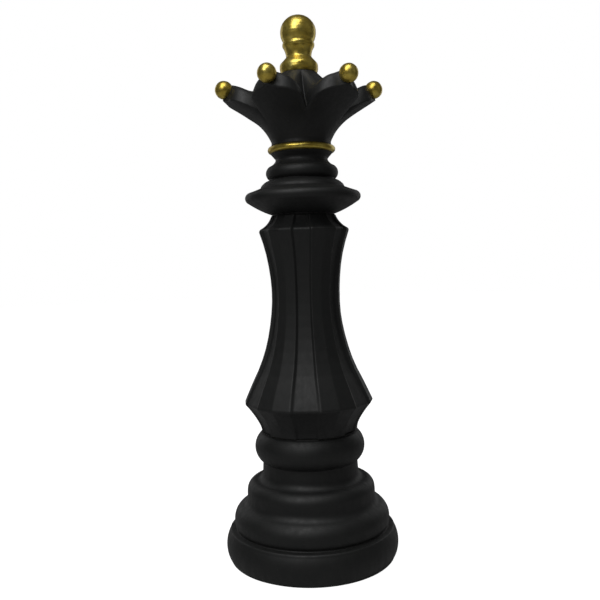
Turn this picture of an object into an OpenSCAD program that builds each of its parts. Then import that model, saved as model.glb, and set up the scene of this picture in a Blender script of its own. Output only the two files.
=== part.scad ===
// Giant chess piece: a queen in four hollow mouldings that stack on spigots.
// Origin: centre of the foot on the ground. +Z up, -Y is the front.

/* [Overall] */
// Thickness of the moulded walls at the sockets
wall = 5; // [4:0.5:6]
// Radial gap between a spigot and its socket
spigot_gap = 0.4; // [0.3:0.05:0.6]
// Length of each spigot above or below its shoulder
spigot_len = 28; // [20:1:30]
// Thickness of the weather seals between the sections
seal_t = 1.5; // [1:0.25:2]

/* [Foot] */
// Radius of the foot at its bottom edge
foot_r = 93; // [92:0.5:94]
// Height of the foot pads, which lift the shell off the ground
pad_h = 4; // [4:0.25:5]
// Radius of one foot pad
pad_r = 8; // [5:0.5:9]
// Number of foot pads, and of the screws between them
pad_count = 6; // [4:1:8]
// Radius of the base plate
plate_r = 84; // [83:0.5:85]
// Thickness of the base plate
plate_t = 4; // [3:0.5:5]

/* [Filler cap] */
// Radius of the filler hole in the base plate
filler_r = 25; // [20:1:28]
// Radius that the two bayonet lugs reach beyond the filler hole
lug_reach = 3; // [2:0.5:4]
// Angle taken by one lug
lug_angle = 30; // [20:2:40]

/* [Column] */
// Number of raised panels round the column
panel_count = 6; // [5:1:8]
// Half of the angle of a raised panel's face
panel_half = 17; // [14:0.5:18]
// Angle taken by the slope at each side of a raised panel
slope_angle = 2.5; // [2:0.25:4]
// Depth of the strips between the raised panels
strip_depth = 3; // [1:0.1:3.4]
// Turn of the panels about the axis
column_turn = -3.2; // [-30:0.1:30]

/* [Crown] */
// Number of petals, with a ball on each
petal_count = 6; // [5:1:6]
// Turn of the petals about the axis
crown_turn = -22.9; // [-30:0.1:30]
// Distance that the notches between petals cut back from the tips
notch_cut = 21; // [16:1:26]
// Height of the rounded ridge along a petal
ridge_h = 15.5; // [8:0.5:16]
// Radius of a ball
ball_r = 10; // [8:0.5:11]

/* [Hidden] */
$fn = 96;
black = "#1c1c1b";
gold = "#b8912c";
arc_steps = 6;
front = -90;

// Heights of the shoulders where the sections meet
base_top = 141;
column_foot = base_top + seal_t;
column_top = 382;
neck_foot = column_top + seal_t;
crown_foot = 458;
crown_top = 537;
piece_top = 600;

// Base plate, screws and filler
shell_foot = 0.5;
plate_z = pad_h;
plate_top = plate_z + plate_t;
plate_gap = 0.3;
ledge_r = plate_r - 8;
screw_pcd_r = plate_r - 4;
screw_r = 2;
screw_head_r = 3.6;
screw_head_h = 2.2;
screw_len = 12;
screw_gap = 0.05;
screw_hole_r = 2.3;
pad_pcd_r = 66;
filler_boss_r = filler_r + 6;
filler_boss_h = 8;
filler_gap = 0.08;
cap_flange_t = 1.8;
cap_flange_r = filler_boss_r - 1;
lug_gap = 0.3;
lug_t = 3;
grip_w = 9;
grip_depth = 8;
grip_wall = 5;
cap_seal_tube = 1;
cap_seal_z = plate_z + 6;
cap_seal_r = filler_r - filler_gap - cap_seal_tube;

// Spigots and sockets
base_spigot_r = 43.6;
neck_spigot_r = 29.6;
crown_spigot_r = 24;
crown_spigot_len = spigot_len - 6;
socket_clear = 4;
seat_gap = 0.02;
base_seal_r = 52.5;
column_seal_r = 34.6;
seal_gap = 0.3;
neck_bore_z = 430;
neck_bore_step = 6;
crown_core_r = 20;

// Heights on the column: its belt, the top of its lower slope, and how deep the strips
// already are at the belt, as a share of their full depth
belt_z = 176.8;
flare_z = 210;
strip_end = 0.75;
strip_runout = 12;

// Neck ring, held between the neck's flange and the crown
ring_tube = 3.7;
ring_r = 33.8;
ring_z = 454;
ring_seat_r = 30;

// Finial thread, drawn plain
stud_r = 7;
stud_gap = 0.05;
bush_r = 10;
bush_h = 28;
stud_in_finial = 14;
stud_below = 26;

// Outline stations are [radius, height, bulge]: the bulge is how far the arc that arrives
// there stands out from its chord, and it is negative where the outline is hollow.
base_outline = [
    [foot_r - 1.4, shell_foot, 0],
    [foot_r, shell_foot + 1.6, 0.5],
    [92.8, 32, 4.2],
    [90.6, 34.2, 0.8],
    [88.1, 34.6, 0],
    [85.4, 34.9, 0],
    [86.6, 37.4, -0.3],
    [87.4, 44.5, 0.5],
    [77.2, 60.6, 3],
    [72, 68.4, -1.2],
    [72, 77, 0.2],
    [62, 87.8, 2.7],
    [53.9, 97.6, -2.9],
    [53.4, 108.6, 0],
    [54.4, base_top, 8]
];
column_lower = [
    [54.2, column_foot, 0],
    [56.7, 152, -0.6],
    [71.2, 173.6, -0.8],
    [71.8, belt_z, 0.8]
];
column_waist = [
    [56, flare_z, 0.2],
    [50.3, 364.5, -14.8]
];
column_bevel = [
    [48.6, 367.5, 0.6],
    [36, column_top, -1.8]
];
neck_outline = [
    [36, neck_foot, 0],
    [60.6, 396.2, 0.9],
    [61.4, 406.8, 3.3],
    [46.6, 412.5, -0.2],
    [44.4, 416.4, 0.5],
    [35.8, 421, 0.8],
    [36.8, 435.6, 4.1],
    [29.3, 442, -0.9],
    [29.3, 444.2, -0.15],
    [34.6, ring_z - ring_tube, 0]
];
bell_foot = [
    [33.8, crown_foot, 0],
    [33.2, 461.5, -0.1]
];
bell_flare = [
    [33.25, 462.5, 0],
    [53, 487.5, -2.2],
    [85.2, 508, -0.4]
];
finial_outline = [
    [19.6, crown_top, 0],
    [21.2, 543.2, 0.6],
    [19.6, 548.3, 0.6],
    [14.6, 553.8, 0],
    [14.1, 556, -0.2],
    [16.9, 565, -0.6],
    [17.9, 567.6, 0.3],
    [16.6, 570.8, 0.5],
    [0, piece_top, 10.5]
];

// Crown surfaces
crown_seat_r = 20;
bell_steps = 10;
top_steps = 10;
petal_steps = 12;
petal_r = 80.5;
tip_reach = 4.7;
tip_half = 0.25;
lobe_depth = 0.12;
lobe_power = 6;
lobe_fade = 4;
notch_power = 3;
dip_h = 7;
ball_ring_r = 83;
ball_z = 519.5;
ball_gap = 0.05;
peg_r = 2.5;
peg_len = 22;
peg_slope = 20;
seam_turn = 35;

// The points of an arc from p to q that stands s out from its chord, without p itself
function bow(p, q, s, n = arc_steps) =
    let (
        chord = norm(q - p),
        along = (q - p) / chord,
        out = [along[1], -along[0]],
        rise = abs(s),
        side = sign(s),
        r = (chord * chord / 4 + rise * rise) / (2 * max(rise, 0.001)),
        half = asin(chord / 2 / r)
    )
    rise < 0.01
        ? [q]
        : [for (i = [1:n]) let (a = half * (2 * i / n - 1))
            (p + q) / 2 + along * r * sin(a) + out * side * (r * cos(a) - r + rise)];

function flat_point(s) = [s[0], s[1]];

// All the points of an outline given by its stations
function outline(s, n = arc_steps) = concat(
    [flat_point(s[0])],
    [for (i = [1:len(s) - 1]) each bow(flat_point(s[i - 1]), flat_point(s[i]), s[i][2], n)]
);

module ring_of(count, radius, turn = 0) {
    for (i = [0:count - 1]) rotate(turn + 360 * i / count) translate([radius, 0, 0]) children();
}

// A closed skin over a stack of rings, each a list of the same number of points. The level
// first and last rings are closed by triangles that meet on the axis.
module skin(rings) {
    n = len(rings[0]);
    last = len(rings) - 1;
    foot_mid = len(rings) * n;
    roof_mid = foot_mid + 1;
    middles = [for (j = [0, last]) [0, 0, rings[j][0][2]]];
    sides = [for (j = [0:last - 1], i = [0:n - 1])
        let (a = j * n + i, b = j * n + (i + 1) % n)
        each [[a, b + n, b], [a, a + n, b + n]]];
    foot = [for (i = [0:n - 1]) [i, (i + 1) % n, foot_mid]];
    roof = [for (i = [0:n - 1]) [last * n + (i + 1) % n, last * n + i, roof_mid]];
    polyhedron(points = concat([for (r = rings) each r], middles), faces = concat(foot, sides, roof));
}

// ---------------------------------------------------------------- base section
module base_shell() {
    pilot_h = screw_len - plate_t + 2;
    color(black) difference() {
        union() {
            rotate_extrude() polygon(concat([[0, shell_foot]], outline(base_outline), [[0, base_top]]));
            translate([0, 0, base_top - 1]) cylinder(r = base_spigot_r, h = spigot_len);
        }
        translate([0, 0, shell_foot - 1]) cylinder(r = plate_r + plate_gap, h = plate_top - shell_foot + 1);
        rotate_extrude() polygon(base_cavity());
        translate([0, 0, base_top - 2]) cylinder(r = base_spigot_r - wall, h = spigot_len + 2);
        ring_of(pad_count, screw_pcd_r)
            translate([0, 0, plate_top - 1]) cylinder(r = screw_r + screw_gap, h = pilot_h + 1, $fn = 24);
    }
}

// Half section of the ballast space: from the ledge up to the roof under the spigot
function base_cavity(inset = 0) = [
    [0, plate_top - 1 + inset],
    [ledge_r - inset, plate_top - 1 + inset],
    [ledge_r - inset, 50],
    [64 - inset, 62],
    [64 - inset, 76],
    [46 - inset, 92],
    [46 - inset, base_top - 8 - inset],
    [0, base_top - 8 - inset]
];

module base_plate() {
    color("#303030") difference() {
        union() {
            translate([0, 0, plate_z]) cylinder(r = plate_r, h = plate_t);
            translate([0, 0, plate_z]) cylinder(r = filler_boss_r, h = plate_t + filler_boss_h);
        }
        translate([0, 0, plate_z - 1]) cylinder(r = filler_r, h = plate_t + filler_boss_h + 2);
        ring_of(pad_count, screw_pcd_r)
            translate([0, 0, plate_z - 1]) cylinder(r = screw_hole_r, h = plate_t + 2, $fn = 24);
        lugs(plate_z - 1, plate_t + filler_boss_h + 2, lug_reach + lug_gap, lug_angle + 6, 90);
    }
}

// Two lugs on opposite sides of the filler hole, or the slots that let them through
module lugs(z, h, reach, angle, turn) {
    for (side = [0, 180])
        rotate(turn + side - angle / 2) translate([0, 0, z])
            rotate_extrude(angle = angle) translate([filler_r - 4, 0]) square([reach + 4, h]);
}

module base_plate_screws() {
    color("silver") ring_of(pad_count, screw_pcd_r) {
        translate([0, 0, plate_z - screw_head_h]) difference() {
            cylinder(r = screw_head_r, h = screw_head_h, $fn = 32);
            translate([0, 0, -1]) cylinder(r = 1.5, h = 2.2, $fn = 6);
        }
        translate([0, 0, plate_z]) cylinder(r = screw_r, h = screw_len, $fn = 24);
    }
}

module foot_pads() {
    color("dimgray") ring_of(pad_count, pad_pcd_r, 180 / pad_count)
        rotate_extrude($fn = 48) polygon([
            [0, 0],
            [pad_r - 0.8, 0],
            [pad_r, 0.8],
            [pad_r, pad_h],
            [0, pad_h]
        ]);
}

module sand_ballast() {
    sand_gap = 0.5;
    color("tan") difference() {
        rotate_extrude() polygon(base_cavity(sand_gap));
        translate([0, 0, plate_z]) cylinder(r = filler_boss_r + sand_gap, h = plate_t + filler_boss_h + 8);
        translate([0, 0, plate_z]) cylinder(r = plate_r, h = plate_t);
        ring_of(pad_count, screw_pcd_r)
            translate([0, 0, plate_z]) cylinder(r = screw_r + 2, h = screw_len + 2, $fn = 24);
    }
}

module base_seal() {
    color("#101010") translate([0, 0, base_top]) difference() {
        cylinder(r = base_seal_r, h = seal_t);
        translate([0, 0, -1]) cylinder(r = base_spigot_r + seal_gap, h = seal_t + 2);
    }
}

// ---------------------------------------------------------------- filler cap
// A flanged plug with two lugs, a groove for its seal, and two hollows that leave a grip bar
module filler_cap() {
    cap_z = plate_z - cap_flange_t;
    lug_z = plate_top + filler_boss_h + lug_gap;
    plug_r = filler_r - filler_gap;
    groove_r = cap_seal_r - cap_seal_tube - 0.05;
    groove_half = cap_seal_tube + 0.1;
    color("#262626") difference() {
        union() {
            translate([0, 0, cap_z]) cylinder(r = cap_flange_r, h = cap_flange_t);
            translate([0, 0, cap_z]) cylinder(r = plug_r, h = lug_z + lug_t - cap_z);
            lugs(lug_z, lug_t, lug_reach, lug_angle, 0);
        }
        translate([0, 0, cap_seal_z]) rotate_extrude()
            translate([groove_r, -groove_half]) square([filler_r - groove_r, 2 * groove_half]);
        for (side = [0, 180]) rotate(side) intersection() {
            translate([0, 0, cap_z - 1]) cylinder(r = plug_r - grip_wall, h = grip_depth + 1);
            translate([-filler_r, grip_w / 2, cap_z - 1]) cube([2 * filler_r, filler_r, grip_depth + 1]);
        }
    }
}

module filler_cap_seal() {
    color("#101010") translate([0, 0, cap_seal_z])
        rotate_extrude() translate([cap_seal_r, 0]) circle(r = cap_seal_tube, $fn = 32);
}

// ---------------------------------------------------------------- column section
// The share of the strips' full depth at a height: less below the flare and at the top edge
function strip_share(z) =
    let (
        rise = (1 - strip_end) * max(0, z - belt_z) / (flare_z - belt_z),
        runout = (column_top - z) / strip_runout
    )
    min(1, strip_end + min(rise, runout));

// Rings of the fluted outside: each period is a raised two-facet panel and a sunk strip
module fluted_outside() {
    period = 360 / panel_count;
    profile = concat(
        outline(column_lower, 4),
        outline(column_waist, 12),
        outline(column_bevel, 4)
    );
    rings = [for (p = profile)
        [for (k = [0:panel_count - 1], c = [[-panel_half, 0], [0, 0], [panel_half, 0],
                [panel_half + slope_angle, 1], [period - panel_half - slope_angle, 1]])
            let (
                a = column_turn + k * period + c[0],
                r = p[0] - c[1] * strip_depth * strip_share(p[1])
            )
            [r * cos(a), r * sin(a), p[1]]]];
    skin(rings);
}

module column_shell() {
    color(black) difference() {
        fluted_outside();
        rotate_extrude() polygon([
            [0, column_foot - 1],
            [base_spigot_r + spigot_gap, column_foot - 1],
            [base_spigot_r + spigot_gap, base_top + spigot_len + socket_clear],
            [53, 180],
            [53, 192],
            [41, 224],
            [33, 250],
            [28, 285],
            [28, 310],
            [34, 340],
            [neck_spigot_r + spigot_gap, column_top - spigot_len - socket_clear],
            [neck_spigot_r + spigot_gap, column_top + 1],
            [0, column_top + 1]
        ]);
    }
}

module column_seal() {
    color("#101010") translate([0, 0, column_top]) difference() {
        cylinder(r = column_seal_r, h = seal_t);
        translate([0, 0, -1]) cylinder(r = neck_spigot_r + seal_gap, h = seal_t + 2);
    }
}

// ---------------------------------------------------------------- neck section
module neck_collar() {
    spigot_z = neck_foot - spigot_len;
    seat_z = ring_z - ring_tube - 1;
    spigot_top = crown_foot + crown_spigot_len;
    color(black) difference() {
        union() {
            rotate_extrude() polygon(concat(
                [[0, neck_foot]],
                outline(neck_outline),
                [[0, ring_z - ring_tube]]
            ));
            translate([0, 0, spigot_z]) cylinder(r = neck_spigot_r, h = spigot_len + 1);
            translate([0, 0, seat_z]) cylinder(r = ring_seat_r, h = crown_foot - seat_gap - seat_z);
            translate([0, 0, seat_z]) cylinder(r = crown_spigot_r, h = spigot_top - seat_z);
        }
        translate([0, 0, spigot_z - 1])
            cylinder(r = neck_spigot_r - wall, h = neck_bore_z + neck_bore_step - spigot_z);
        translate([0, 0, neck_bore_z])
            cylinder(r = crown_spigot_r - wall, h = spigot_top - wall - neck_bore_z);
    }
}

module neck_ring() {
    color(gold) translate([0, 0, ring_z])
        rotate_extrude() translate([ring_r, 0]) circle(r = ring_tube, $fn = 48);
}

// ---------------------------------------------------------------- crown section
bell_line = outline(bell_flare, 12);

// How far round from a petal's middle (0) to the notch beside it (1)
function petal_offset(a) = abs(2 * (a * petal_count / 360 - round(a * petal_count / 360)));

// Radius of the petals' edge in plan, with a narrow tip under the ball
function edge_r(x) =
    petal_r - notch_cut * pow(x, notch_power) + tip_reach * pow(max(0, 1 - x / tip_half), 1.5);

// One point of the bell: u runs from 0 at its foot to 1 at the petals' edge
function bell_ring_point(a, u, x) =
    let (
        r = bell_flare[0][0] + (edge_r(x) - bell_flare[0][0]) * u,
        drawn = r * (1 - lobe_depth * pow(u, lobe_fade) * pow(x, lobe_power))
    )
    [drawn * cos(a), drawn * sin(a), lookup(r, bell_line)];

// One point of the top: t runs from 0 at the finial's seat to 1 at the petals' edge
function top_point(a, t, x) =
    let (
        edge = bell_ring_point(0, 1, x),
        r = crown_seat_r + (edge[0] - crown_seat_r) * t,
        slope = crown_top + (edge[2] - crown_top) * t,
        ridge = ridge_h * (1 - x * x) * sin(180 * pow(t, 4)),
        dip = dip_h * sin(180 * t)
    )
    [r * cos(a), r * sin(a), slope + ridge - dip];

module petals() {
    count = petal_count * petal_steps;
    angles = [for (i = [0:count - 1]) 360 * i / count];
    rings = concat(
        [for (p = [bell_foot[0], bell_foot[1]]) [for (a = angles) [p[0] * cos(a), p[0] * sin(a), p[1]]]],
        [for (j = [0:bell_steps]) [for (a = angles) bell_ring_point(a, j / bell_steps, petal_offset(a))]],
        [for (j = [top_steps - 1:-1:0]) [for (a = angles) top_point(a, j / top_steps, petal_offset(a))]]
    );
    skin(rings);
}

module crown_shell() {
    bore_z = crown_top - bush_h;
    socket_z = crown_foot + crown_spigot_len;
    color(black) difference() {
        rotate(front + crown_turn) petals();
        translate([0, 0, crown_foot - 1])
            cylinder(r = crown_spigot_r + spigot_gap, h = crown_spigot_len + socket_clear);
        translate([0, 0, socket_z]) cylinder(r = crown_core_r, h = bore_z - socket_z - wall);
        translate([0, 0, bore_z]) cylinder(r = bush_r, h = bush_h + 1);
        for (i = [0:petal_count - 1]) {
            at_ball(i) sphere(r = ball_r + ball_gap);
            at_ball(i) cylinder(r = peg_r + ball_gap, h = peg_len + 1, $fn = 32);
        }
    }
}

// A ball's place: its own Z axis runs down its peg, and its seam is turned off the petal's ridge
module at_ball(i) {
    rotate(front + crown_turn + 360 * i / petal_count)
        translate([ball_ring_r, 0, ball_z]) rotate([0, -90 - peg_slope, 0]) rotate(seam_turn) children();
}

module crown_ball(i) {
    color(gold) at_ball(i) {
        sphere(r = ball_r);
        cylinder(r = peg_r, h = peg_len, $fn = 32);
    }
}

// ---------------------------------------------------------------- finial
module finial_bush() {
    color("darkgoldenrod") translate([0, 0, crown_top - bush_h]) difference() {
        cylinder(r = bush_r, h = bush_h);
        translate([0, 0, -1]) cylinder(r = stud_r + stud_gap, h = bush_h + 2);
    }
}

module finial_stud() {
    color("silver") translate([0, 0, crown_top - stud_below])
        cylinder(r = stud_r, h = stud_below + stud_in_finial);
}

module finial() {
    color(gold) difference() {
        rotate_extrude() polygon(concat([[0, crown_top]], outline(finial_outline, 8)));
        translate([0, 0, crown_top - 1]) cylinder(r = stud_r + stud_gap, h = stud_in_finial + 1);
    }
}

base_shell();
base_plate();
base_plate_screws();
foot_pads();
sand_ballast();
base_seal();
filler_cap();
filler_cap_seal();
column_shell();
column_seal();
neck_collar();
neck_ring();
crown_shell();
crown_ball(0);  // crown_ball_1
crown_ball(1);  // crown_ball_2
crown_ball(2);  // crown_ball_3
crown_ball(3);  // crown_ball_4
crown_ball(4);  // crown_ball_5
crown_ball(5);  // crown_ball_6
finial_bush();
finial_stud();
finial();
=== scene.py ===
"""Giant chess queen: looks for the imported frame. Metres, +Z up, -Y is the front."""
from math import asin, cos, pi, radians, sin

import bmesh
import bpy
import numpy as np
from mathutils import Matrix, Vector

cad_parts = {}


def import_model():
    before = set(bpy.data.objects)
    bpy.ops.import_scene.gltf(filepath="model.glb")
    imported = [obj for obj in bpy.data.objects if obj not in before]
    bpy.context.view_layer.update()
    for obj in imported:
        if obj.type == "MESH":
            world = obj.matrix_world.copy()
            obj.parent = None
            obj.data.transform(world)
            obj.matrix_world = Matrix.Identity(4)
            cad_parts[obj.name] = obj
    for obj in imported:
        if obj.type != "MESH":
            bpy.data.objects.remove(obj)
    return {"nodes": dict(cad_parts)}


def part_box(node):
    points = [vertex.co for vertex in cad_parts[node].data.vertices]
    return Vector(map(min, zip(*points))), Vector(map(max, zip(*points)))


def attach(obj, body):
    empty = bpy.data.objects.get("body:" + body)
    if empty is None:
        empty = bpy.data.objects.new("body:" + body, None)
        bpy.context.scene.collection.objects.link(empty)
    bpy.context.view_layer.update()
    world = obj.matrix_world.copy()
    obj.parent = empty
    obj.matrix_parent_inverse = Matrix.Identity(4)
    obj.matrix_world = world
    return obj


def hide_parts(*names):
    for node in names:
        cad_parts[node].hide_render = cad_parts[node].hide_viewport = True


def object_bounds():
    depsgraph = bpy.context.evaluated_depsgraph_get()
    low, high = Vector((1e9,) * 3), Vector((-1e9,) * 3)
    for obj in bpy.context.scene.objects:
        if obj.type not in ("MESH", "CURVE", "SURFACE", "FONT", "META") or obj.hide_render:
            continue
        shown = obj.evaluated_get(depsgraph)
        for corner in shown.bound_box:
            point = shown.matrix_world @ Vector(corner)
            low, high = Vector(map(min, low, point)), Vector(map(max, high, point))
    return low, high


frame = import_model()
cad_low, cad_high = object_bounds()

MM = 0.001
TURN = 2 * pi
WAVE_COUNT = 14


# ------------------------------------------------------------------ outlines
def bow(p, q, bulge, count):
    """Points of an arc from p to q that stands bulge out from its chord, without p."""
    p, q = np.array(p, float), np.array(q, float)
    rise = abs(bulge)
    if rise < 0.01:
        return [p + (q - p) * i / count for i in range(1, count + 1)]
    chord = np.linalg.norm(q - p)
    along = (q - p) / chord
    out = np.array([along[1], -along[0]]) * np.sign(bulge)
    radius = (chord * chord / 4 + rise * rise) / (2 * rise)
    half = asin(chord / 2 / radius)
    middle = (p + q) / 2
    points = []
    for i in range(1, count + 1):
        a = half * (2 * i / count - 1)
        points.append(middle + along * radius * sin(a) + out * (radius * cos(a) - radius + rise))
    return points


def outline(stations, count=12):
    """All the points of an outline, in mm, from its [radius, height, bulge] stations."""
    points = [np.array(stations[0][:2], float)]
    for before, now in zip(stations, stations[1:]):
        points += bow(before[:2], now[:2], now[2], count)
    return np.array(points)


def resample(points, step):
    """The same line with its points an even distance apart."""
    gaps = np.linalg.norm(np.diff(points, axis=0), axis=1)
    along = np.concatenate([[0], np.cumsum(gaps)])
    count = max(2, int(round(along[-1] / step)) + 1)
    at = np.linspace(0, along[-1], count)
    return np.column_stack([np.interp(at, along, points[:, k]) for k in range(points.shape[1])])


def soften(points, step, width):
    """An outline with its corners rounded, as paint and casting round them."""
    fine = resample(points, step / 4)
    reach = int(4 * width / (step / 4)) + 1
    kernel = np.exp(-0.5 * (np.arange(-reach, reach + 1) * step / 4 / width) ** 2)
    kernel /= kernel.sum()
    ends = [2 * fine[0] - fine[reach:0:-1], fine, 2 * fine[-1] - fine[-2:-reach - 2:-1]]
    padded = np.vstack(ends)
    smooth = np.column_stack([np.convolve(padded[:, k], kernel, "valid") for k in range(2)])
    smooth[0], smooth[-1] = fine[0], fine[-1]
    return resample(smooth, step)


# ------------------------------------------------------------------ meshes
def waves(points, size, seed):
    """A smooth value from -1 to 1 at each point, from seeded sine waves about size long, in mm."""
    rng = np.random.default_rng(seed)
    total = np.zeros(len(points))
    for _ in range(WAVE_COUNT):
        direction = rng.normal(size=3)
        direction /= np.linalg.norm(direction)
        length = size * rng.uniform(0.6, 1.8)
        total += np.sin(points @ direction * TURN / length + rng.uniform(0, TURN))
    return total / WAVE_COUNT ** 0.5 / 1.6


def mesh_object(name, points, faces, material):
    """A smooth-shaded object from points in mm."""
    mesh = bpy.data.meshes.new(name)
    mesh.from_pydata((np.asarray(points) * MM).tolist(), [], faces)
    work = bmesh.new()
    work.from_mesh(mesh)
    bmesh.ops.remove_doubles(work, verts=work.verts, dist=1e-6)
    bmesh.ops.dissolve_degenerate(work, dist=1e-7, edges=work.edges)
    bmesh.ops.recalc_face_normals(work, faces=work.faces)
    work.to_mesh(mesh)
    work.free()
    mesh.polygons.foreach_set("use_smooth", [True] * len(mesh.polygons))
    mesh.materials.append(material)
    piece = bpy.data.objects.new(name, mesh)
    bpy.context.scene.collection.objects.link(piece)
    return piece


def ring_faces(rows, columns, loop):
    """Quads over rows of points; loop joins the last row to the first."""
    faces = []
    for j in range(rows if loop else rows - 1):
        up = (j + 1) % rows
        for i in range(columns):
            nxt = (i + 1) % columns
            faces.append((j * columns + i, j * columns + nxt, up * columns + nxt, up * columns + i))
    return faces


def turned(profile, angles):
    """A grid of points: each [radius, height] of a half outline, turned to each angle in radians."""
    r = profile[:, 0][:, None]
    z = np.repeat(profile[:, 1][:, None], len(angles), axis=1)
    return np.stack([r * np.cos(angles), r * np.sin(angles), z], axis=-1)


def lathe(name, profile, material, segments, uneven, grain, seed):
    """A turned piece from a closed half outline in mm; uneven is how far its skin dips, in mm."""
    angles = np.arange(segments) * TURN / segments
    points = dip(turned(profile, angles).reshape(-1, 3), uneven, grain, seed)
    return mesh_object(name, points, ring_faces(len(profile), segments, True), material)


def dip(points, depth, size, seed):
    """Points drawn towards the axis by a smooth uneven amount, never outwards."""
    amount = depth * 0.5 * (waves(points, size, seed) + 1)
    radius = np.maximum(np.hypot(points[:, 0], points[:, 1]), 1e-6)
    keep = np.clip(1 - np.clip(amount, 0, depth) / radius, 0, 1)
    moved = points.copy()
    moved[:, 0] *= keep
    moved[:, 1] *= keep
    return moved


# ------------------------------------------------------------------ materials
def new_material(name):
    """A material with its node tree cleared to one Principled shader, and a small toolbox for it."""
    material = bpy.data.materials.new(name)
    material.use_nodes = True
    tree = material.node_tree
    tree.nodes.clear()
    output = tree.nodes.new("ShaderNodeOutputMaterial")
    shader = tree.nodes.new("ShaderNodeBsdfPrincipled")
    tree.links.new(shader.outputs["BSDF"], output.inputs["Surface"])
    place = tree.nodes.new("ShaderNodeTexCoord").outputs["Object"]
    return material, tree, shader, place


def noise(tree, place, size_mm, detail=4.0, rough=0.55, stretch=None):
    """A noise value from 0 to 1 with features about size_mm across."""
    if stretch is not None:
        scaled = tree.nodes.new("ShaderNodeMapping")
        scaled.inputs["Scale"].default_value = stretch
        tree.links.new(place, scaled.inputs["Vector"])
        place = scaled.outputs["Vector"]
    node = tree.nodes.new("ShaderNodeTexNoise")
    node.inputs["Scale"].default_value = 1 / (size_mm * MM)
    node.inputs["Detail"].default_value = detail
    node.inputs["Roughness"].default_value = rough
    tree.links.new(place, node.inputs["Vector"])
    return node.outputs["Fac"]


def ramp(tree, value, stops):
    """A colour ramp: stops is a list of (position, colour)."""
    node = tree.nodes.new("ShaderNodeValToRGB")
    elements = node.color_ramp.elements
    while len(elements) < len(stops):
        elements.new(0.5)
    for element, (position, colour) in zip(elements, stops):
        element.position = position
        element.color = (*colour, 1)
    tree.links.new(value, node.inputs["Fac"])
    return node.outputs["Color"]


def spread(tree, value, low, high, start=0.3, end=0.7):
    """A value spread from start..end to low..high."""
    node = tree.nodes.new("ShaderNodeMapRange")
    for name, number in (("From Min", start), ("From Max", end), ("To Min", low), ("To Max", high)):
        node.inputs[name].default_value = number
    tree.links.new(value, node.inputs["Value"])
    return node.outputs["Result"]


def mix(tree, amount, first, second):
    """A linked colour mixed with a fixed second colour by a linked amount."""
    node = tree.nodes.new("ShaderNodeMix")
    node.data_type = "RGBA"
    tree.links.new(amount, node.inputs["Factor"])
    tree.links.new(first, node.inputs[6])
    node.inputs[7].default_value = (*second, 1)
    return node.outputs[2]


def bump(tree, shader, layers):
    """Chained bumps: layers is a list of (height socket, depth in mm, strength)."""
    before = None
    for height, depth, strength in layers:
        node = tree.nodes.new("ShaderNodeBump")
        node.inputs["Distance"].default_value = depth * MM
        node.inputs["Strength"].default_value = strength
        tree.links.new(height, node.inputs["Height"])
        if before is not None:
            tree.links.new(before, node.inputs["Normal"])
        before = node.outputs["Normal"]
    tree.links.new(before, shader.inputs["Normal"])


def edges(tree, low, high):
    """From 0 on flat or hollow skin to 1 on the sharpest raised edges."""
    geometry = tree.nodes.new("ShaderNodeNewGeometry")
    return spread(tree, geometry.outputs["Pointiness"], 0, 1, low, high)


def black_paint():
    """Satin black paint over a slightly uneven moulding, lightly scuffed; its raised edges are lighter,
    partly rubbed paint and partly a painted highlight.
    """
    material, tree, shader, place = new_material("black_paint")
    broad = noise(tree, place, 60, 3)
    middle = noise(tree, place, 9, 5)
    fine = noise(tree, place, 1.1, 3, 0.6)
    brushed = noise(tree, place, 5, 4, 0.6, (1, 1, 0.25))
    base = ramp(tree, broad, [(0.3, (0.0036, 0.0041, 0.0042)), (0.7, (0.0068, 0.0076, 0.0074))])
    mottled = mix(tree, spread(tree, middle, 0, 0.5), base, (0.0095, 0.0098, 0.0090))
    # raised edges lighter: partly rubbed paint, partly a painted highlight along the rims
    worn_and_highlit = mix(tree, edges(tree, 0.53, 0.62), mottled, (0.022, 0.022, 0.020))
    speck = spread(tree, noise(tree, place, 2.2, 1, 0.4), 0, 0.8, 0.78, 0.81)
    dusty = mix(tree, speck, worn_and_highlit, (0.03, 0.03, 0.028))
    tree.links.new(dusty, shader.inputs["Base Color"])
    tree.links.new(spread(tree, brushed, 0.50, 0.64), shader.inputs["Roughness"])
    shader.inputs["Specular IOR Level"].default_value = 0.45
    bump(tree, shader, [(middle, 0.5, 0.22), (brushed, 0.25, 0.22), (fine, 0.08, 0.3)])
    return material


def gold_paint():
    """Brushed-on metallic gold: mottled, darker where it is thin, with a fine metal grain."""
    material, tree, shader, place = new_material("gold_paint")
    broad = noise(tree, place, 14, 4)
    middle = noise(tree, place, 3.0, 5, 0.6)
    fine = noise(tree, place, 0.7, 2, 0.6)
    base = ramp(tree, broad, [
        (0.25, (0.44, 0.31, 0.045)),
        (0.5, (0.62, 0.47, 0.085)),
        (0.75, (0.76, 0.63, 0.17)),
    ])
    thin = mix(tree, spread(tree, middle, 0.3, 0, 0.34, 0.5), base, (0.26, 0.175, 0.028))
    tree.links.new(thin, shader.inputs["Base Color"])
    shader.inputs["Metallic"].default_value = 0.86
    tree.links.new(spread(tree, middle, 0.27, 0.37), shader.inputs["Roughness"])
    bump(tree, shader, [(broad, 0.8, 0.2), (middle, 0.3, 0.18), (fine, 0.07, 0.3)])
    return material


def plain_material(name, dark, light, rough, size_mm, metallic=0.0, depth=0.15):
    """A simple two-tone surface with grain, for the pieces inside and underneath."""
    material, tree, shader, place = new_material(name)
    middle = noise(tree, place, size_mm, 4)
    fine = noise(tree, place, size_mm / 6, 3)
    tree.links.new(ramp(tree, middle, [(0.3, dark), (0.7, light)]), shader.inputs["Base Color"])
    tree.links.new(spread(tree, fine, rough[0], rough[1]), shader.inputs["Roughness"])
    shader.inputs["Metallic"].default_value = metallic
    bump(tree, shader, [(middle, depth, 0.3), (fine, depth / 3, 0.4)])
    return material


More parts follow.
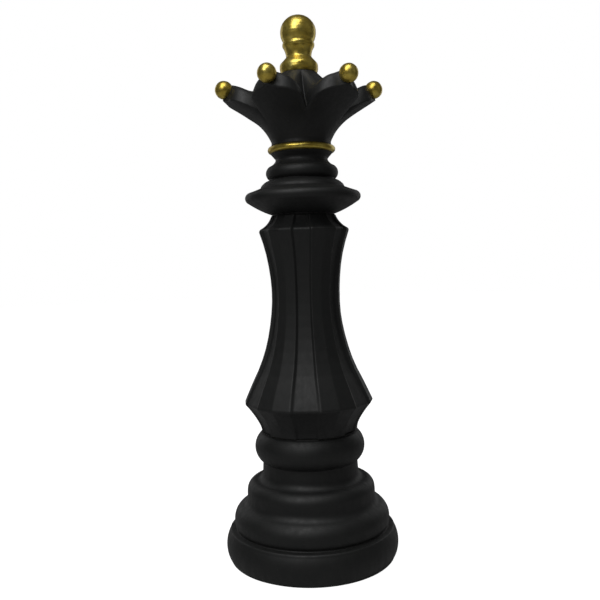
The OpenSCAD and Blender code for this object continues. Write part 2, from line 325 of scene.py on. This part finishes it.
BLACK = black_paint()
GOLD = gold_paint()
PLATE = plain_material("moulded_plate", (0.022, 0.022, 0.021), (0.034, 0.034, 0.032), (0.5, 0.7), 6)
RUBBER = plain_material("seal_rubber", (0.010, 0.010, 0.010), (0.019, 0.019, 0.018), (0.65, 0.85), 5)
STEEL = plain_material("zinc_steel", (0.42, 0.42, 0.40), (0.60, 0.60, 0.58), (0.28, 0.45), 3, 1.0, 0.04)
BRASS = plain_material("turned_brass", (0.42, 0.27, 0.08), (0.62, 0.44, 0.17), (0.25, 0.4), 4, 1.0, 0.04)
SAND = plain_material("packed_sand", (0.33, 0.25, 0.15), (0.62, 0.51, 0.35), (0.85, 0.98), 1.2, 0.0, 0.5)


# ------------------------------------------------------------------ outlines of the turned shells
def low_mm(node):
    """The low corner of a CAD node's box, in mm."""
    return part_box(node)[0] / MM


def high_mm(node):
    """The high corner of a CAD node's box, in mm."""
    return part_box(node)[1] / MM


shell_foot = low_mm("base_shell").z
base_top = low_mm("base_seal").z
base_spigot_top = high_mm("base_shell").z
column_foot = low_mm("column_shell").z
column_top = high_mm("column_shell").z
neck_spigot_foot = low_mm("neck_collar").z
neck_foot = high_mm("column_seal").z
crown_foot = low_mm("crown_shell").z
crown_spigot_top = high_mm("neck_collar").z
crown_top = low_mm("finial").z
piece_top = high_mm("finial").z
ring_low, ring_high = low_mm("neck_ring"), high_mm("neck_ring")
ring_z = (ring_low.z + ring_high.z) / 2
ring_tube = (ring_high.z - ring_low.z) / 2
ring_r = ring_high.x - ring_tube
plate_top = high_mm("foot_pads").z + 4
recess_r = 84.3
ledge_r = 76
base_spigot_r, neck_spigot_r, crown_spigot_r = 43.6, 29.6, 24
column_seat_r = neck_spigot_r + 0.4
column_socket_r = base_spigot_r + 0.4
crown_socket_r = crown_spigot_r + 0.4
wall = 5
edge = 1

FOOT = [
    [91.6, shell_foot, 0],
    [93, shell_foot + 1.6, 0.5],
    [92.8, 32, 4.2],
    [90.6, 34.2, 0.8],
    [88.1, 34.6, 0],
    [85.4, 34.9, 0],
    [86.6, 37.4, -0.3],
    [87.4, 44.5, 0.5],
    [77.2, 60.6, 3],
    [72, 68.4, -1.2],
    [72, 77, 0.2],
    [62, 87.8, 2.7],
    [53.9, 97.6, -2.9],
    [53.4, 108.6, 0],
    [54.4, base_top, 8],
]
NECK = [
    [36, neck_foot, 0],
    [60.6, 396.2, 0.9],
    [61.4, 406.8, 3.3],
    [46.6, 412.5, -0.2],
    [44.4, 416.4, 0.5],
    [35.8, 421, 0.8],
    [36.8, 435.6, 4.1],
    [29.3, 442, -0.9],
    [29.3, 444.2, -0.15],
    [34.6, ring_z - ring_tube, 0],
]
FINIAL = [
    [19.6, crown_top, 0],
    [21.2, 543.2, 0.6],
    [19.6, 548.3, 0.6],
    [14.6, 553.8, 0],
    [14.1, 556, -0.2],
    [16.9, 565, -0.6],
    [17.9, 567.6, 0.3],
    [16.6, 570.8, 0.5],
    [0, piece_top, 10.5],
]


def divided(points):
    """A line whose straight runs are cut into stretches of about 8 mm."""
    points = np.array(points, float)
    out = []
    for p, q in zip(points, points[1:]):
        count = max(1, int(np.linalg.norm(q - p) // 8))
        out += [p + (q - p) * i / count for i in range(count)]
    return np.array(out + [points[-1]])


def closed(*parts):
    """One closed half outline from several stretches."""
    points = np.vstack([np.array(part, float) for part in parts])
    return divided(np.vstack([points, points[:1]]))[:-1]


def base_shell():
    """Stepped foot and torus, with the spigot for the column and the ballast space inside."""
    skin = soften(outline(FOOT), 1.2, 0.45)
    spigot = [
        [base_spigot_r, base_top],
        [base_spigot_r, base_spigot_top - edge],
        [base_spigot_r - edge, base_spigot_top],
        [base_spigot_r - wall, base_spigot_top],
        [base_spigot_r - wall, base_top - 2],
        [0, base_top - 2],
        [0, base_top - 8],
    ]
    inside = [
        [46, base_top - 8],
        [46, 92],
        [64, 76],
        [64, 62],
        [ledge_r, 50],
        [ledge_r, plate_top],
        [recess_r, plate_top],
        [recess_r, shell_foot],
    ]
    piece = lathe("base_moulding", closed(skin, spigot, inside), BLACK, 192, 0.5, 60, 11)
    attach(piece, "base")
    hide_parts("base_shell")


def neck_collar():
    """The turned disc, bead and flange, with a spigot at each end."""
    skin = soften(outline(NECK), 1.0, 0.45)
    upper = [
        [30, ring_z - ring_tube],
        [30, crown_foot - 0.02],
        [crown_spigot_r, crown_foot - 0.02],
        [crown_spigot_r, crown_spigot_top - edge],
        [crown_spigot_r - edge, crown_spigot_top],
        [0, crown_spigot_top],
        [0, crown_spigot_top - wall],
        [crown_spigot_r - wall, crown_spigot_top - wall],
        [crown_spigot_r - wall, 435],
        [neck_spigot_r - wall, 435],
        [neck_spigot_r - wall, neck_spigot_foot],
        [neck_spigot_r - edge, neck_spigot_foot],
        [neck_spigot_r, neck_spigot_foot + edge],
        [neck_spigot_r, neck_foot],
    ]
    piece = lathe("neck_moulding", closed(skin, upper), BLACK, 160, 0.4, 45, 12)
    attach(piece, "neck")
    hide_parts("neck_collar")


def neck_ring():
    """The gold band under the crown, painted by hand so its edge wavers a little."""
    angles = np.arange(40) * TURN / 40
    section = np.column_stack([ring_r + ring_tube * np.cos(angles), ring_z + ring_tube * np.sin(angles)])
    piece = lathe("gold_band", section, GOLD, 192, 0.35, 14, 13)
    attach(piece, "neck")
    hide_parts("neck_ring")


# ------------------------------------------------------------------ fluted column
PANELS = 6
PANEL_HALF = 17
SLOPE = 2.5
STRIP_DEPTH = 3
COLUMN_TURN = -3.2
BELT_Z = 176.8
FLARE_Z = 210
STRIP_END = 0.75
STRIP_RUNOUT = 12
COLUMN = [
    [54.2, column_foot, 0],
    [56.7, 152, -0.6],
    [71.2, 173.6, -0.8],
    [71.8, BELT_Z, 0.8],
    [56, FLARE_Z, 0.2],
    [50.3, 364.5, -14.8],
    [48.6, 367.5, 0.6],
    [36, column_top, -1.8],
]


def cos_deg(angle):
    """The cosine of an angle in degrees."""
    return np.cos(np.radians(angle))


def flute_depth(angle):
    """How far the skin lies inside the panel ridge: share of the radius, and depth of strip 0 to 1."""
    period = 360 / PANELS
    a = np.abs((angle - COLUMN_TURN + period / 2) % period - period / 2)
    strip_edge = PANEL_HALF + SLOPE
    facet_half = PANEL_HALF / 2
    facet = cos_deg(facet_half) / cos_deg(np.minimum(a, PANEL_HALF) - facet_half)
    strip_half = period / 2 - strip_edge
    flat = cos_deg(strip_half) / cos_deg(np.minimum(period / 2 - a, strip_half))
    share = np.where(a < PANEL_HALF, facet, np.where(a > strip_edge, flat, 1.0))
    sunk = np.clip((a - PANEL_HALF) / SLOPE, 0, 1)
    return share, sunk


def strip_share(z):
    """Share of the strips' full depth at a height: less below the flare and at the top edge."""
    rise = (1 - STRIP_END) * np.maximum(0, z - BELT_Z) / (FLARE_Z - BELT_Z)
    runout = (column_top - z) / STRIP_RUNOUT
    return np.minimum(1, STRIP_END + np.minimum(rise, runout))


def blur_round(values, width):
    """Rows that run round a piece, blurred by a gaussian width points wide."""
    reach = int(4 * width) + 1
    kernel = np.exp(-0.5 * (np.arange(-reach, reach + 1) / width) ** 2)
    kernel /= kernel.sum()
    padded = np.pad(values, [(0, 0), (reach, reach)], "wrap")
    return np.apply_along_axis(lambda line: np.convolve(line, kernel, "valid"), 1, padded)


def column_shell():
    """Six raised panels, each with a faint ridge, over sunk strips, with a socket at each end."""
    columns = 576
    line = soften(outline(COLUMN), 1.3, 0.6)
    rows = len(line)
    angles = np.arange(columns) * TURN / columns
    tube = turned(np.column_stack([np.full(rows, 40.0), line[:, 1]]), angles)
    wander = 0.45 * waves(tube.reshape(-1, 3), 70, 21).reshape(rows, columns)
    share, sunk = flute_depth(np.degrees(angles)[None, :] + wander)
    radius = line[:, 0][:, None] * share - sunk * STRIP_DEPTH * strip_share(line[:, 1])[:, None]
    radius = blur_round(radius, 0.7)
    z = np.repeat(line[:, 1][:, None], columns, 1)
    outer = np.stack([radius * np.cos(angles), radius * np.sin(angles), z], -1).reshape(-1, 3)
    inside = divided([
        [column_seat_r, column_top],
        [column_seat_r, 350],
        [34, 340],
        [28, 310],
        [28, 285],
        [33, 250],
        [41, 224],
        [53, 192],
        [53, 180],
        [column_socket_r, 173],
        [column_socket_r, column_foot],
    ])
    points = np.vstack([dip(outer, 0.45, 50, 22), turned(inside, angles).reshape(-1, 3)])
    faces = ring_faces(rows + len(inside), columns, True)
    piece = mesh_object("column_moulding", points, faces, BLACK)
    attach(piece, "column")
    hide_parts("column_shell")


# ------------------------------------------------------------------ crown
PETALS = 6
CROWN_TURN = -22.9
PETAL_R = 80.5
TIP_REACH = 4.7
TIP_HALF = 0.25
NOTCH_CUT = 21
NOTCH_POWER = 3
LOBE_DEPTH = 0.12
LOBE_POWER = 6
LOBE_FADE = 4
RIDGE_H = 15.5
DIP_H = 7
SEAT_R = 20
BALL_RING_R = 83
BALL_R = 10
BELL = outline([[33.25, 462.5, 0], [53, 487.5, -2.2], [85.2, 508, -0.4]], 60)


def crown_angles(count):
    """Even angles round the crown, in radians, starting at the middle of the first petal."""
    return radians(CROWN_TURN - 90) + np.arange(count) * TURN / count


def crown_outside(columns, bell_rows, top_rows):
    """Rows of the crown's skin: up the bell to the petals' edge, then over the petals to the seat."""
    turn = np.arange(columns) * PETALS / columns
    x = np.abs(2 * (turn - np.round(turn)))
    edge_r = PETAL_R - NOTCH_CUT * x ** NOTCH_POWER
    edge_r = edge_r + TIP_REACH * np.maximum(0, 1 - x / TIP_HALF) ** 1.5
    rows = []
    foot = [[33.8, crown_foot, 0], [33.2, 461.5, -0.1], [*BELL[0], 0]]
    for r, z in outline(foot, 3)[:-1]:
        rows.append((np.full(columns, r), np.full(columns, z)))
    for u in np.linspace(0, 1, bell_rows):
        r = BELL[0][0] + (edge_r - BELL[0][0]) * u
        z = np.interp(r, BELL[:, 0], BELL[:, 1])
        rows.append((r * (1 - LOBE_DEPTH * u ** LOBE_FADE * x ** LOBE_POWER), z))
    rim_r, rim_z = rows[-1]
    for t in 1 - np.linspace(0, 1, top_rows)[1:] ** 1.15:
        r = SEAT_R + (rim_r - SEAT_R) * t
        ridge = RIDGE_H * (1 - x * x) * sin(pi * t ** 4)
        z = crown_top + (rim_z - crown_top) * t + ridge - DIP_H * sin(pi * t)
        rows.append((r, z))
    r = np.array([row[0] for row in rows])
    z = np.array([row[1] for row in rows])
    a = crown_angles(columns)
    return np.stack([r * np.cos(a), r * np.sin(a), z], -1)


def crown_shell():
    """The six-petal crown with its socket and the bore for the finial bush."""
    columns = 288
    bore_foot = low_mm("finial_bush").z
    outer = crown_outside(columns, 46, 46)
    inside = divided([
        [10, crown_top],
        [10, bore_foot],
        [0, bore_foot],
        [0, bore_foot - wall],
        [20, bore_foot - wall],
        [20, crown_spigot_top + 4],
        [crown_socket_r, crown_spigot_top + 4],
        [crown_socket_r, crown_foot],
    ])
    inner = turned(inside, crown_angles(columns))
    points = np.vstack([dip(outer.reshape(-1, 3), 0.5, 30, 31), inner.reshape(-1, 3)])
    faces = ring_faces(len(outer) + len(inner), columns, True)
    piece = mesh_object("crown_moulding", points, faces, BLACK)
    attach(piece, "crown")
    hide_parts("crown_shell")


def crown_ball(number):
    """A gold ball on a petal's tip, a little uneven, with its peg hidden in the petal."""
    node = f"crown_ball_{number}"
    a = crown_angles(PETALS)[number - 1]
    centre = np.array([BALL_RING_R * cos(a), BALL_RING_R * sin(a), high_mm(node).z - BALL_R])
    rings, columns = 28, 40
    tilt = np.linspace(-pi / 2, pi / 2, rings)
    arc = np.column_stack([np.cos(tilt), np.sin(tilt)])
    unit = turned(arc, np.arange(columns) * TURN / columns).reshape(-1, 3)
    shrink = 0.35 * 0.5 * (waves(unit * BALL_R + centre, 9, 40 + number) + 1)
    points = centre + unit * (BALL_R - np.clip(shrink, 0, 0.5))[:, None]
    piece = mesh_object(f"gold_ball_{number}", points, ring_faces(rings, columns, False), GOLD)
    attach(piece, "crown")
    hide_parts(node)


def finial():
    """The turned gold finial."""
    skin = soften(outline(FINIAL), 0.5, 0.2)
    bore_r, bore_top = 7.05, high_mm("finial_stud").z
    inside = [[0, bore_top], [bore_r, bore_top], [bore_r, crown_top]]
    piece = lathe("gold_finial", closed(skin, inside), GOLD, 128, 0.4, 16, 51)
    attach(piece, "top_knob")
    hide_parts("finial")


# ------------------------------------------------------------------ stage
def floor():
    """A plain white floor; it glows a little so it stays white."""
    material, tree, shader, place = new_material("pale_floor")
    shade = noise(tree, place, 300, 3)
    stops = [(0.3, (0.52, 0.52, 0.52)), (0.7, (0.56, 0.56, 0.56))]
    tree.links.new(ramp(tree, shade, stops), shader.inputs["Base Color"])
    shader.inputs["Roughness"].default_value = 0.75
    shader.inputs["Specular IOR Level"].default_value = 0.2
    shader.inputs["Emission Color"].default_value = (1, 1, 1, 1)
    path = tree.nodes.new("ShaderNodeLightPath")
    tree.links.new(path.outputs["Is Camera Ray"], shader.inputs["Emission Strength"])
    work = bmesh.new()
    bmesh.ops.create_circle(work, cap_ends=True, radius=6, segments=96)
    mesh = bpy.data.meshes.new("floor")
    work.to_mesh(mesh)
    work.free()
    mesh.materials.append(material)
    piece = bpy.data.objects.new("floor", mesh)
    bpy.context.scene.collection.objects.link(piece)


def area_light(name, azimuth, elevation, distance, size, power):
    """A soft white light round the piece's middle: azimuth 0 is the front, 90 the right."""
    middle = Vector((0, 0, cad_high[2] / 2))
    a, e = radians(azimuth), radians(elevation)
    towards = Vector((sin(a) * cos(e), -cos(a) * cos(e), sin(e)))
    data = bpy.data.lights.new(name, "AREA")
    data.shape = "RECTANGLE"
    data.size, data.size_y = size
    data.energy = power
    light = bpy.data.objects.new(name, data)
    light.location = middle + towards * distance
    light.rotation_euler = towards.to_track_quat("Z", "Y").to_euler()
    bpy.context.scene.collection.objects.link(light)


def world():
    """Soft white surroundings, white where the camera looks past the piece."""
    scene = bpy.context.scene
    scene.world = bpy.data.worlds.new("studio")
    scene.world.use_nodes = True
    tree = scene.world.node_tree
    tree.nodes.clear()
    output = tree.nodes.new("ShaderNodeOutputWorld")
    background = tree.nodes.new("ShaderNodeBackground")
    background.inputs["Color"].default_value = (1, 1, 1, 1)
    background.inputs["Strength"].default_value = 0.055
    seen = tree.nodes.new("ShaderNodeBackground")
    seen.inputs["Color"].default_value = (1, 1, 1, 1)
    seen.inputs["Strength"].default_value = 1.0
    path = tree.nodes.new("ShaderNodeLightPath")
    choose = tree.nodes.new("ShaderNodeMixShader")
    tree.links.new(path.outputs["Is Camera Ray"], choose.inputs["Fac"])
    tree.links.new(background.outputs["Background"], choose.inputs[1])
    tree.links.new(seen.outputs["Background"], choose.inputs[2])
    tree.links.new(choose.outputs["Shader"], output.inputs["Surface"])


def camera():
    """The viewing angle: a little above half height, close, tilted down and very slightly rolled."""
    data = bpy.data.cameras.new("camera")
    data.sensor_width = 36
    data.lens = 42.96
    data.clip_end = 50
    view = bpy.data.objects.new("camera", data)
    place = Matrix.Translation((0, -0.800, 0.3315))
    pan = Matrix.Rotation(0.0080, 4, "Z")
    tilt = Matrix.Rotation(pi / 2 - 0.0542, 4, "X")
    roll = Matrix.Rotation(-0.0294, 4, "Z")
    view.matrix_world = place @ pan @ tilt @ roll
    bpy.context.scene.collection.objects.link(view)
    bpy.context.scene.camera = view


def set_material(material, *nodes):
    """Gives CAD nodes a better material."""
    for name in nodes:
        node = frame["nodes"][name]
        node.data.materials.clear()
        node.data.materials.append(material)


# ------------------------------------------------------------------ the piece
camera()
world()
floor()
area_light("key", -28, 40, 1.6, (0.7, 0.8), 7.5)
area_light("top", -15, 68, 1.7, (1.0, 1.0), 10.5)
area_light("fill", 70, 20, 1.8, (0.9, 1.4), 0.4)
area_light("back_right", 140, 15, 1.8, (0.9, 1.4), 2.5)
area_light("back_left", -140, 15, 1.8, (0.9, 1.4), 2.5)

base_shell()
neck_collar()
neck_ring()
column_shell()
crown_shell()
for number in range(1, PETALS + 1):
    crown_ball(number)
finial()
set_material(PLATE, "base_plate", "filler_cap")
set_material(STEEL, "base_plate_screws", "finial_stud")
set_material(RUBBER, "foot_pads", "base_seal", "column_seal", "filler_cap_seal")
set_material(SAND, "sand_ballast")
set_material(BRASS, "finial_bush")

bpy.context.scene.view_settings.view_transform = "Standard"
